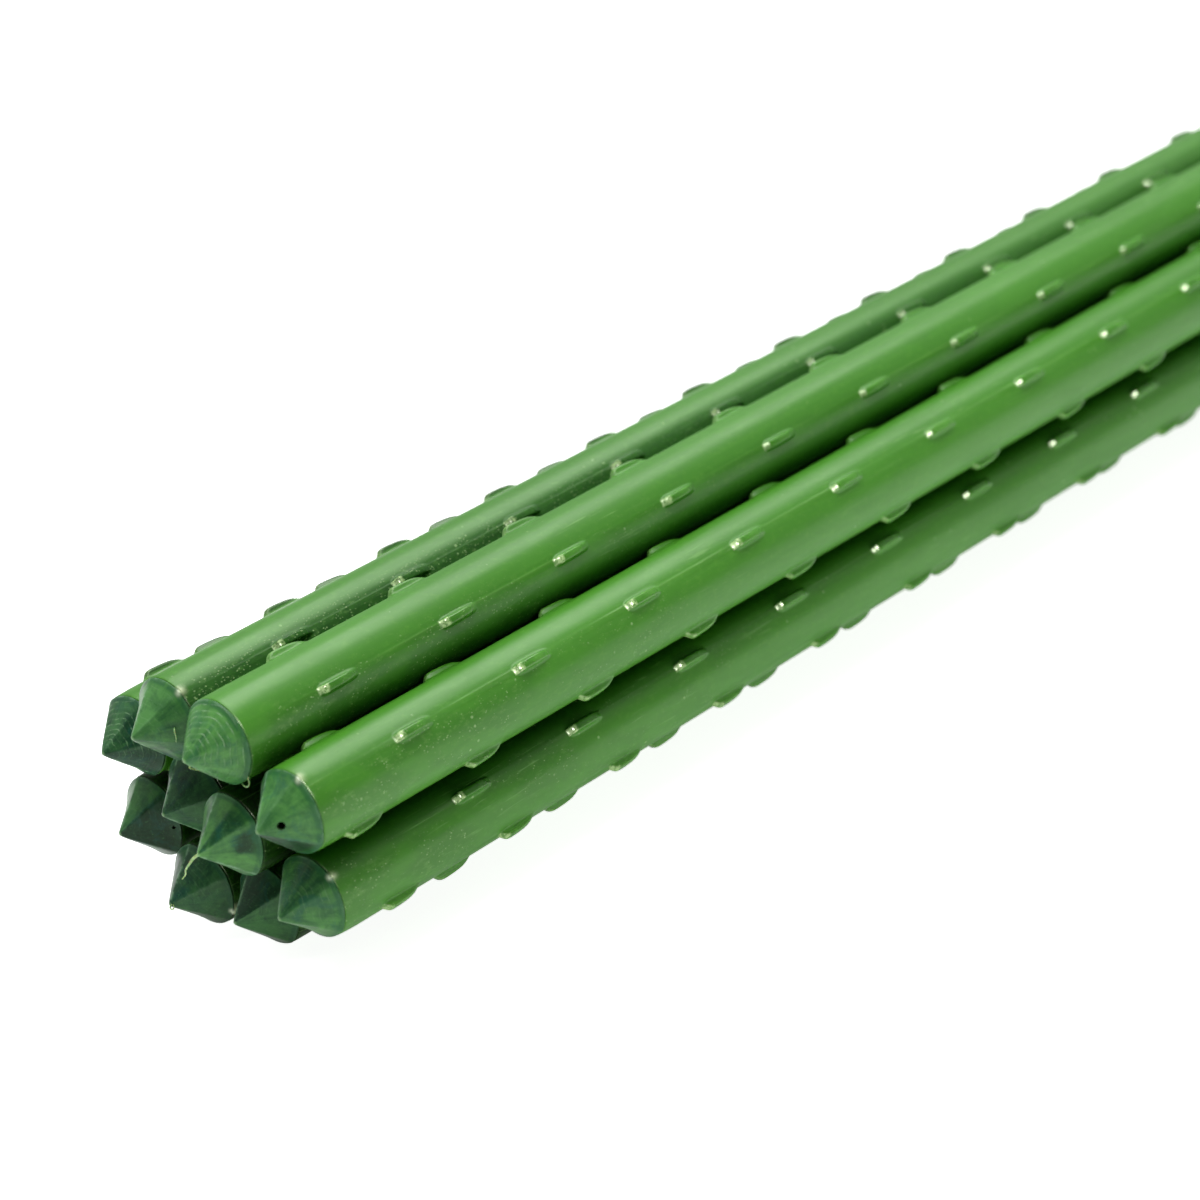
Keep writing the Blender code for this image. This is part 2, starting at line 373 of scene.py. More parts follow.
    def add_panels(self, strips):
        """Panels between the rows. Each is flat, so one face can carry every vertex
        of the row beside it. Gives the rings at the sleeve's two ends."""
        length = self.last - self.first
        steps = int(math.floor(length / (PITCH * MM)))
        marks = [self.first] + self.rim_marks
        marks += [self.first + length * k / steps for k in range(1, steps)] + [self.last]
        edge = self.ROW_EDGE / (self.radius / MM)
        ring_first, ring_last = [], []
        for k, (theta, border_y, rows) in enumerate(strips):
            theta_next, next_y, next_rows = strips[(k + 1) % len(strips)]
            if k == len(strips) - 1:
                theta_next += 2 * math.pi
            low, high = theta + edge, theta_next - edge
            panels = max(2, int(round((high - low) / math.radians(self.PANEL))))
            lines = []
            for p in range(1, panels):
                angle = low + (high - low) * p / panels
                lines.append([self.vertex(angle, self.radius, y) for y in marks])
            for a, b in zip(lines, lines[1:]):
                for i in range(len(marks) - 1):
                    self.faces.append((a[i], b[i], b[i + 1], a[i + 1]))
            ring_first += rows[0] + [line[0] for line in lines]
            ring_last += rows[-1] + [line[-1] for line in lines]
            self.stitch([row[-1] for row in rows], border_y, lines[0], marks, True)
            self.stitch([row[0] for row in next_rows], next_y, lines[-1], marks, False)
        return ring_first, ring_last

    def ring_like(self, ring, r, y):
        """A ring of another radius, with its vertices in the same directions."""
        out = []
        for i in ring:
            x, _, z = self.verts[i]
            out.append(self.vertex(math.atan2(z - self.axis.z, x - self.axis.x), r, y))
        return out

    def add_ends(self, ring_first, ring_last):
        """The rounded ends, the end faces and the bore."""
        chains = []
        for ring, end, sign in ((ring_first, self.start, 1.0), (ring_last, self.end, -1.0)):
            chains.append([ring] + [self.ring_like(ring, r, y) for r, y in (
                (self.radius - self.LIP * 0.30, end + sign * self.LIP * 0.30),
                (self.radius - self.LIP, end),
                (BORE + 0.00008, end),
                (BORE, end + sign * 0.0001),
            )])
        for chain in chains:
            self.faces += join_rings(chain)
        self.faces += join_rings([chains[0][-1], chains[1][-1]])

    def build(self):
        strips = [self.add_row(*row) for row in ROWS[self.key]]
        self.add_ends(*self.add_panels(strips))
        mesh = new_mesh(self.name, self.verts, self.faces)
        for name, values in self.marks.items():
            set_attribute(mesh, name, values)
        return mesh


# ---------------------------------------------------------------------- tips
TIP_COLUMNS = 180
# Shares of the cone's radius at which its rings lie, from the point to the rim.
TIP_SHARES = [0.018, 0.04, 0.065, 0.095] + list(np.linspace(0.13, 0.985, 59)) + [1.0]
TIP_ATTRIBUTES = ("along", "crease", "turns", "tone", "round_x", "round_z", "torn")
APEX_VALUES = (0.0, 1.0, 0.0, 0.5, 0.0, 0.0, 0.0)


def turn_drift(theta, phases):
    """How the turning marks wander round the cone, in turns."""
    slow = 0.55 * math.sin(theta + phases[2]) + 0.22 * math.sin(3 * theta + phases[3])
    return slow + 0.10 * math.sin(8 * theta + phases[7])


def cone_ripple(theta, s, turned, phases):
    """The cone's unevenness and its turning marks, as a share of the radius."""
    wobble = 0.005 * math.sin(3 * theta + phases[0])
    wobble += 0.0035 * math.sin(7 * theta + phases[1] + 3 * s)
    wobble += 0.003 * math.sin(17 * theta + phases[5] + 9 * s) * math.sin(21 * s + phases[6])
    within = s * TURNS + turn_drift(theta, phases)
    turn = int(math.floor(within))
    within -= turn
    swing = math.sin(theta * (1.0 + 0.35 * (turn % 3)) + phases[4] + 1.3 * turn)
    depth = 0.30 + 0.70 * (0.5 + 0.5 * swing)
    mark = -0.030 * turned * depth * (within**3)
    mark *= clamp((s - 0.16) / 0.1) * clamp((1.0 - s) / 0.03)
    return (wobble + mark) * (1.0 - s**8)


def face_tone(key, angle, along):
    """The painted light and shade of the face at a direction, blended at its creases and
    darkened by the painted dark patches.
    """
    edges, flatness, tones = TIPS[key].creases, TIPS[key].flatness, TIPS[key].tones
    soft = 4.0 + 40.0 * max(0.0, 0.5 - flatness)  # degrees over which the tone changes
    place = max([n for n, e in enumerate(edges) if e <= angle], default=len(edges) - 1)
    after = (place + 1) % len(edges)
    low, high = edges[place], edges[after]
    high += 360.0 if high <= low else 0.0
    here = angle if angle >= low else angle + 360.0
    if here - low < high - here:
        near, gap = place - 1, here - low
    else:
        near, gap = after, high - here
    blend = 0.5 + 0.5 * min(1.0, gap / soft)
    value = tones[place] * blend + tones[near] * (1.0 - blend)
    for where, centre, width, share_from, share_to, depth in DARK_PATCHES:
        if where == key:
            rise = clamp((along - share_from) / (share_to - share_from))
            side = math.exp(-((turn_from(centre, angle) / width) ** 4))
            value -= depth * side * rise * rise * (3.0 - 2.0 * rise)
    return value


def crease_wear_and_highlight(key, angle, along, on_rim):
    """How close a place is to a crease, or to the rim, where it is painted pale: partly wear,
    partly a painted highlight on the left-hand creases and rim.
    """
    tip = TIPS[key]
    rim_line = bell(1.0 - along, 0.022) if on_rim else 0.0
    # The rim line is painted highlight, strongest at 150 degrees.
    rim_line *= 0.25 + 0.75 * max(0.0, math.cos(math.radians(angle - 150.0)))
    near = 0.0
    for crease in tip.creases:
        outer = 1.0 if 95.0 < crease % 360.0 < 300.0 else 0.16  # those between 95 and 300 degrees, on the left side, get the painted highlight in full
        near = max(near, outer * bell(turn_from(crease, angle) * max(along, 0.1), 2.4))
    return max(rim_line, near * min(1.0, tip.flatness * 1.7))


def tip_values(key, angle, along, on_rim, phases):
    """What the material needs at a vertex, in the order of TIP_ATTRIBUTES."""
    theta = math.radians(angle)
    torn = 0.0
    for burr in TIPS[key].burrs:
        near_rim = max(0.0, 1.0 - (1.0 - along) / 0.07)
        torn = max(torn, bell(turn_from(burr, angle), 3.6) * near_rim)
    return (
        along,
        crease_wear_and_highlight(key, angle, along, on_rim),
        along * TURNS + turn_drift(theta, phases),
        face_tone(key, angle, along),
        math.cos(theta),
        math.sin(theta),
        torn,
    )


def tip_mesh(name, key, axis, apex, cone, radius, end):
    """The moulded point: a pinched cone, its shoulder and its plug."""
    tip = TIPS[key]
    noise = rng_for(name)
    phases = noise.uniform(0, 2 * math.pi, 12)
    lean = noise.normal(0, 0.00012, 2)
    nose = 0.00030  # how blunt the point is
    span = math.sqrt(radius**2 + nose**2) - nose
    thetas = [2 * math.pi * i / TIP_COLUMNS for i in range(TIP_COLUMNS)]
    insets = [facet_inset(key, theta) for theta in thetas]
    verts, grid = [], []

    for s in TIP_SHARES:
        ring = []
        fade = (1.0 - (1.0 - RIM_FLAT) * s**4) * min(1.0, s / 0.10)
        off = (1.0 - s) ** 2
        r = radius * s
        ring_y = apex + cone * (math.sqrt(r * r + nose * nose) - nose) / span
        for theta, inset in zip(thetas, insets):
            y = ring_y
            shrink = 1.0 + tip.flatness * inset * fade
            shrink += cone_ripple(theta, s, tip.turned, phases)
            burred = r * shrink
            if s == 1.0:
                for burr in tip.burrs:
                    d = turn_from(burr, math.degrees(theta))
                    burred += 0.00026 * bell(d, 6.0)
                    y -= 0.00018 * bell(d, 5.0)
            x, y, z = around(axis, burred, theta, y)
            ring.append(len(verts))
            verts.append((x + lean[0] * off, y, z + lean[1] * off))
        grid.append(ring)
    # Rim rounded over, shoulder, plug and its chamfer.
    rim = apex + cone
    for r, y in (
        (radius + 0.00001, rim + 0.00006),
        (radius - 0.00002, rim + 0.00014),
        (radius - 0.00012, rim + 0.00018),
        (PLUG, rim + 0.00018),
        (PLUG, end - 0.0010),
        (PLUG - PLUG_CHAMFER, end),
    ):
        ring = []
        for theta, inset in zip(thetas, insets):
            burred = r
            if r > PLUG:
                burred *= 1.0 + tip.flatness * inset * RIM_FLAT
                for burr in tip.burrs:
                    burred += 0.00024 * bell(turn_from(burr, math.degrees(theta)), 6.0)
            ring.append(len(verts))
            verts.append(around(axis, burred, theta, y))
        grid.append(ring)
    top = len(verts)
    verts.append((axis.x + lean[0], apex, axis.z + lean[1]))
    first = grid[0]
    faces = [(top, first[i], first[(i + 1) % TIP_COLUMNS]) for i in range(TIP_COLUMNS)]
    faces += join_rings(grid)
    faces.append(tuple(grid[-1]))
    mesh = new_mesh(name, verts, faces)

    values = []
    for k in range(len(grid)):
        along = TIP_SHARES[k] if k < len(TIP_SHARES) else 1.0
        on_rim = k < len(TIP_SHARES) + 3
        for i in range(TIP_COLUMNS):
            values.append(tip_values(key, 360.0 * i / TIP_COLUMNS, along, on_rim, phases))
    values.append(APEX_VALUES)
    for attribute, column in zip(TIP_ATTRIBUTES, zip(*values)):
        set_attribute(mesh, attribute, column)
    return mesh


def smooth_course(points, u):
    """A place on the smooth curve through the points, for u from 0 to 1."""
    u = u * (len(points) - 1)
    i = min(int(u), len(points) - 2)
    f = u - i
    p = [points[max(0, min(len(points) - 1, i + k))] for k in (-1, 0, 1, 2)]
    return 0.5 * (
        2 * p[1] + (p[2] - p[0]) * f + (2 * p[0] - 5 * p[1] + 4 * p[2] - p[3]) * f * f
        + (3 * p[1] - p[0] - 3 * p[2] + p[3]) * f**3
    )


def shred_mesh(name, points, thickness):
    """A thin ribbon of torn plastic, swept along a smooth course and tapered."""
    steps, sides = 30, 10
    verts, rings = [], []
    side = Vector((0.3, 0.2, 1.0)).normalized()
    for k in range(steps + 1):
        u = k / steps
        here = smooth_course(points, u)
        ahead = smooth_course(points, min(1.0, u + 0.02))
        along = (ahead - smooth_course(points, max(0.0, u - 0.02))).normalized()
        side = (side - along * side.dot(along)).normalized()
        other = along.cross(side)
        wide = thickness * MM * (1.0 - 0.72 * u**1.5) * (0.9 + 0.1 * math.sin(9 * u))
        rings.append(tuple(range(k * sides, (k + 1) * sides)))
        for i in range(sides):
            a = 2 * math.pi * i / sides
            across = side * (math.cos(a) * wide * 0.5)
            verts.append(here + across + other * (math.sin(a) * wide * 0.28))
    return new_mesh(name, verts, join_rings(rings) + [rings[0], rings[-1]])


def drill(obj, axis, apex, cone, radius, degrees, share, diameter):
    """Sinks a small round hole into a cone, square to its surface."""
    theta = math.radians(degrees)
    out = Vector((math.cos(theta), 0.0, math.sin(theta)))
    normal = (out * cone + Vector((0, -radius, 0))).normalized()
    centre = Vector((axis.x, apex + cone * share, axis.z)) + out * (radius * share)
    bm = bmesh.new()
    bmesh.ops.create_cone(
        bm, cap_ends=True, segments=40,
        radius1=diameter * MM * 0.62, radius2=diameter * MM * 0.5, depth=0.0036,
    )
    turn = normal.to_track_quat("Z", "Y").to_matrix().to_4x4()
    bm.transform(Matrix.Translation(centre - normal * 0.0009) @ turn)
    bmesh.ops.recalc_face_normals(bm, faces=bm.faces)
    mesh = bpy.data.meshes.new("drill")
    bm.to_mesh(mesh)
    bm.free()
    cutter = add_object("drill", mesh)
    mod = obj.modifiers.new("pinhole", "BOOLEAN")
    mod.object = cutter
    mod.operation = "DIFFERENCE"
    mod.solver = "EXACT"
    graph = bpy.context.evaluated_depsgraph_get()
    done = bpy.data.meshes.new_from_object(obj.evaluated_get(graph), depsgraph=graph)
    obj.modifiers.remove(mod)
    old = obj.data
    obj.data = done
    bpy.data.meshes.remove(old)
    bpy.data.objects.remove(cutter)
    bpy.data.meshes.remove(mesh)
    obj.data.set_sharp_from_angle(angle=math.radians(38))


# ---------------------------------------------------------------------- caps
def cap_mesh(name, axis, start, end, turn):
    """The domed top cap: plug, seat, fluted collar, dome and a moulding gate."""
    columns = 96
    rounding, step = 0.00022, 0.00014  # of the collar's lower and upper edges
    seat = end - CAP_COLLAR - CAP_DOME
    collar_top = seat + CAP_COLLAR
    dome_top = collar_top + CAP_DOME
    edge, dome_r = CAP_HEAD - rounding, CAP_HEAD - step
    profile = [(PLUG - PLUG_CHAMFER, start), (PLUG, start + 0.001), (PLUG, seat), (edge, seat)]
    for k in range(1, 5):
        a = math.radians(90 * k / 4)
        profile.append((edge + rounding * math.sin(a), seat + rounding * (1 - math.cos(a))))
    fluted = len(profile)  # the collar's upper ring is pressed in by its flutes
    profile.append((CAP_HEAD, collar_top - 0.0002))
    profile.append((dome_r, collar_top))
    for k in range(1, 15):
        a = math.radians(90.0 * k / 15.0)
        rise = (CAP_DOME - 0.0001) * math.sin(a)
        profile.append((dome_r * math.cos(a), collar_top + 0.0001 + rise))
    # The gate: a small sunken ring with the stub of the sprue inside it.
    gate = [
        (0.00048, dome_top - 0.00008), (0.00040, dome_top - 0.00020),
        (0.00026, dome_top - 0.00020), (0.00020, dome_top - 0.00002),
    ]
    verts, grid = [], []
    for n, (r, y) in enumerate(profile + gate):
        grid.append(range(len(verts), len(verts) + columns))
        for i in range(columns):
            theta = 2 * math.pi * i / columns
            flute = 0.00010 * (0.5 + 0.5 * math.cos(theta * 24)) ** 3 if n == fluted else 0.0
            verts.append(around(axis, r - flute, theta + turn, y))
    count = len(profile)
    faces = join_rings(grid[:count]) + [tuple(grid[0])]
    faces += join_rings(grid[count - 1 :]) + [tuple(grid[-1])]
    return new_mesh(name, verts, faces)


# -------------------------------------------------------------------- straps
STRAP_RADIUS = 0.00675  # from a marker's axis to the inside of a strap
STRAP_THICK = 0.0006
STRAP_STEP = 0.0004  # length of a mesh step along the band
STRAP_LANES = 30
WEAVE_CELL = 0.0016
HALF_LAP = 0.013
HALF_WELD = 0.0085
PACK_MIDDLE_Z = 0.0195


def convex_ring(centres):
    """The centres at the corners of the pack, in order round it."""
    ring = [Vector(c) for c in sorted(
        centres, key=lambda c: math.atan2(c[1] - PACK_MIDDLE_Z, c[0])
    )]
    changed = True
    while changed:
        changed = False
        for i in range(len(ring)):
            a, b, c = ring[i - 1], ring[i], ring[(i + 1) % len(ring)]
            if (b - a).cross(c - b) <= 1e-9:
                ring.pop(i)
                changed = True
                break
    return ring


def band_path(ring):
    """Points and outward normals, in X and Z, of a band drawn tight round a ring."""
    path = []
    for i, centre in enumerate(ring):
        after = ring[(i + 1) % len(ring)]
        run_in, run_out = centre - ring[i - 1], after - centre
        start = math.atan2(run_in.y, run_in.x) - math.pi / 2
        end = math.atan2(run_out.y, run_out.x) - math.pi / 2
        while end < start:
            end += 2 * math.pi
        steps = max(2, int((end - start) * STRAP_RADIUS / STRAP_STEP))
        for k in range(steps):
            a = start + (end - start) * k / steps
            normal = Vector((math.cos(a), math.sin(a)))
            path.append((centre + normal * STRAP_RADIUS, normal))
        normal = Vector((math.cos(end), math.sin(end)))
        leave, arrive = centre + normal * STRAP_RADIUS, after + normal * STRAP_RADIUS
        steps = max(2, int((arrive - leave).length / STRAP_STEP))
        for k in range(steps):
            path.append((leave.lerp(arrive, k / steps), normal))
    return path


def strap_mesh(name, node, centres):
    """A fine band round the pack: embossed weave, welded overlap with its ribs."""
    low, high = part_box(node)
    path = band_path(convex_ring(centres))
    lengths = [0.0]
    for a, b in zip(path, path[1:]):
        lengths.append(lengths[-1] + (b[0] - a[0]).length)
    top = max(range(len(path)), key=lambda i: (round(path[i][0].y, 6), -path[i][0].x))
    middle = lengths[top]
    width = high.y - low.y
    verts, raised, faces = [], [], []
    inner, outer = [], []
    for (place, normal), s in zip(path, lengths):
        d = abs(s - middle)
        lap = 1.0 if d <= HALF_LAP else max(0.0, 1.0 - (d - HALF_LAP) / 0.0003)
        row = []
        for j in range(STRAP_LANES + 1):
            v = j / STRAP_LANES
            edge = min(v, 1 - v) * width
            taper = min(1.0, edge / 0.0004)
            u = s / WEAVE_CELL
            w = (v - 0.5) * width / WEAVE_CELL
            weave = 0.5 + 0.5 * math.cos(math.pi * (u + w)) * math.cos(math.pi * (u - w))
            lift = -0.00009 * (1.0 - weave) if edge > 0.0005 else 0.0
            weld = 0.0
            if d < HALF_WELD and edge > 0.0012:
                weld = 0.5 + 0.5 * math.cos(2 * math.pi * (s - middle) / 0.0014)
                lift = -0.00016 * weld
            q = place + normal * (STRAP_THICK * (1 + lap) + lift - 0.00010 * (1 - taper))
            row.append(len(verts))
            verts.append((q.x, low.y + width * v, q.y))
            raised.append(max(0.0, 1.0 + lift / 0.00009) if d >= HALF_WELD else 1.0 - weld)
        outer.append(row)
        inner.append((len(verts), len(verts) + 1))
        for y in (low.y, high.y):
            verts.append((place.x, y, place.y))
            raised.append(0.0)
    for i in range(len(path)):
        k = (i + 1) % len(path)
        for j in range(STRAP_LANES):
            faces.append((outer[i][j], outer[i][j + 1], outer[k][j + 1], outer[k][j]))
        faces.append((inner[i][0], inner[i][1], inner[k][1], inner[k][0]))
        faces.append((inner[i][0], outer[i][0], outer[k][0], inner[k][0]))
        faces.append((outer[i][-1], inner[i][1], inner[k][1], outer[k][-1]))
    mesh = new_mesh(name, verts, faces)
    mesh.set_sharp_from_angle(angle=math.radians(50))
    set_attribute(mesh, "nub", raised)
    return mesh


# ------------------------------------------------------------- node building
class Graph:
    """A small helper for building node trees."""

    def __init__(self, tree):
        self.tree = tree

    def node(self, kind):
        return self.tree.nodes.new(kind)

    def put(self, socket, value):
        """Links or sets an input. Colours are given as linear red, green, blue."""
        if isinstance(value, bpy.types.NodeSocket):
            self.tree.links.new(value, socket)
        else:
            socket.default_value = (*value, 1.0) if socket.type == "RGBA" else value

    def ramp(self, value, across, to=(0.0, 1.0), kind="LINEAR"):
        """Maps the range `across` onto the range `to`, and holds it beyond."""
        n = self.node("ShaderNodeMapRange")
        n.interpolation_type = kind
        self.put(n.inputs["Value"], value)
        for key, v in zip(("From Min", "From Max", "To Min", "To Max"), (*across, *to)):
            self.put(n.inputs[key], v)
        return n.outputs["Result"]

    def fade(self, value, across, to=(0.0, 1.0)):
        """A ramp that eases in and out."""
        return self.ramp(value, across, to, "SMOOTHSTEP")

    def math(self, operation, a, b=0.0, clamp=False):
        n = self.node("ShaderNodeMath")
        n.operation = operation
        n.use_clamp = clamp
        self.put(n.inputs[0], a)
        self.put(n.inputs[1], b)
        return n.outputs[0]

    def add(self, a, b):
        return self.math("ADD", a, b)

    def times(self, product, *factors):
        for factor in factors:
            product = self.math("MULTIPLY", product, factor)
        return product


class Material(Graph):
    """A material on object coordinates. Its textures are moved by `shift`."""

    FACING_RADIUS = 0.0055

    def __init__(self, name, shift=(0, 0, 0)):
        self.material = bpy.data.materials.new(name)
        self.material.use_nodes = True
        super().__init__(self.material.node_tree)
        self.shader = self.tree.nodes["Principled BSDF"]
        self.coords = self.node("ShaderNodeTexCoord").outputs["Object"]
        self.shift = shift

    def mapped(self, stretch, shift):
        n = self.node("ShaderNodeMapping")
        self.put(n.inputs["Vector"], self.coords)
        n.inputs["Scale"].default_value = stretch
        n.inputs["Location"].default_value = shift or self.shift
        return n.outputs["Vector"]

    def noise(self, scale=1.0, detail=3.0, rough=0.5, distort=0.0,
              stretch=(1, 1, 1), shift=None, vector=None):
        n = self.node("ShaderNodeTexNoise")
        self.put(n.inputs["Vector"], vector or self.mapped(stretch, shift))
        n.inputs["Scale"].default_value = scale
        n.inputs["Detail"].default_value = detail
        n.inputs["Roughness"].default_value = rough
        n.inputs["Distortion"].default_value = distort
        return n.outputs["Fac"]

    def cells(self, scale, stretch=(1, 1, 1)):
        """The distance from the middle of the nearest of many scattered cells."""
        n = self.node("ShaderNodeTexVoronoi")
        self.put(n.inputs["Vector"], self.mapped(stretch, None))
        n.inputs["Scale"].default_value = scale
        return n.outputs["Distance"]

    def mix(self, base, colour, amount, blend="MIX"):
        n = self.node("ShaderNodeMix")
        n.data_type = "RGBA"
        n.blend_type = blend
        self.put(n.inputs[0], amount)
        self.put(n.inputs[6], base)
        self.put(n.inputs[7], colour)
        return n.outputs[2]

    def painted_occlusion_shade(self, colour, distance, amount):
        """Paints shade into a colour where its surroundings crowd it, found by an occlusion
        test. Gives the colour and the share of the light that is left."""
        n = self.node("ShaderNodeAmbientOcclusion")
        n.samples = 6
        n.inputs["Distance"].default_value = distance
        left = self.fade(n.outputs["AO"], across=(0.08, 0.85))
        deep = (1.0 - amount * 1.06, 1.0 - amount * 0.90, 1.0 - amount * 1.12)
        light = self.mix(deep, (1, 1, 1), left)
        return self.mix(colour, light, 1.0, "MULTIPLY"), left

    def position(self):
        n = self.node("ShaderNodeSeparateXYZ")
        self.put(n.inputs[0], self.coords)
        return n.outputs

    def facing(self, axis, degrees, full, faded):
        """1 on the side of a marker that faces one direction, within the half width
        `full`, and 0 beyond the half width `faded`, in degrees."""
        place = self.position()
        a = math.radians(degrees)
        x = self.math("SUBTRACT", place["X"], axis.x)
        z = self.math("SUBTRACT", place["Z"], axis.z)
        x = self.times(x, math.cos(a) / self.FACING_RADIUS)
        z = self.times(z, math.sin(a) / self.FACING_RADIUS)
        limits = (math.cos(math.radians(faded)), math.cos(math.radians(full)))
        return self.fade(self.add(x, z), across=limits)

    def near_tip(self, across, to=(0.0, 1.0)):
        """A fade between two places along the marker."""
        return self.fade(self.position()["Y"], across, to)

    def attribute(self, name):
        n = self.node("ShaderNodeAttribute")
        n.attribute_name = name
        return n.outputs["Fac"]

    def bumps(self, *layers):
        """The normal after bumps laid one on another, each given as its height
        field, its depth in metres and its strength."""
        normal = None
        for height, depth, strength in layers:
            n = self.node("ShaderNodeBump")
            n.inputs["Strength"].default_value = strength
            n.inputs["Distance"].default_value = depth
            self.put(n.inputs["Height"], height)
            if normal is not None:
                self.put(n.inputs["Normal"], normal)
            normal = n.outputs["Normal"]
        return normal

    def set(self, **inputs):
        for key, value in inputs.items():
            self.put(self.shader.inputs[key.replace("_", " ")], value)


# ----------------------------------------------------------------- materials
# Where each marker is frosted with nicks: the direction it faces, in degrees, and
# how far the frosting reaches behind the rim, in metres, and how dense it is.
FROST = {
    "a": (20.0, 0.03, 0.3), "b": (10.0, 0.13, 0.9), "c": (-12.0, 0.11, 0.5),
    "d": (-5.0, 0.10, 0.4), "e": (10.0, 0.12, 0.4), "f": (-60.0, 0.05, 0.3),
    "g": (-90.0, 0.05, 0.3), "h": (200.0, 0.04, 0.3), "i": (90.0, 0.03, 0.3),
    "j": (0.0, 0.03, 0.3),
}
# Painted shade: how much darker some of the markers are painted all over.
SHADE = {"b": 0.22, "a": 0.20}
# Painted shade on one side of a marker near its point: the direction it faces, the half
# widths of its full and faded parts, in degrees, its strength, and its reach along the
# marker in metres. On b and e it lies where the next marker shades them.
SIDE_SHADE = {"b": (-15.0, 58.0, 80.0, 0.74, 0.30), "e": (75.0, 20.0, 42.0, 0.50, 0.075)}
# On f to j, painted shade covers the side facing 28.5 degrees near the points, which the
# points beside them shade.
for inward, far in (("f", 0.040), ("g", 0.045), ("h", 0.045), ("i", 0.120), ("j", 0.120)):
    SIDE_SHADE[inward] = (28.5, 88.0, 122.0, 0.90, far)


def frosting(mat, key, axis, rim, mottle):
    """The frosted area near the point, and the haze and the fine nicks in it."""
    degrees, reach, dense = FROST[key]
    frost = mat.times(
        mat.facing(axis, degrees, full=18.0, faded=62.0),
        mat.near_tip(across=(rim + reach, rim + 0.004)),
        mat.fade(mat.noise(scale=210.0, detail=2.0, stretch=(1, 0.45, 1)),
                 across=(0.46 - 0.16 * dense, 0.62 - 0.16 * dense)),
    )
    nicks = mat.times(
        mat.fade(mat.cells(scale=2900.0, stretch=(1, 0.7, 1)),
                 across=(0.24 + 0.12 * dense, 0.10 + 0.12 * dense)),
        frost,
        mat.fade(mottle, across=(0.53 - 0.10 * dense, 0.63 - 0.10 * dense)),
    )
    cloud = mat.noise(scale=1300.0, detail=4.0, rough=0.75, stretch=(1, 0.5, 1))
    haze = mat.times(frost, mat.fade(cloud, across=(0.52, 0.66)))
    return frost, haze, nicks


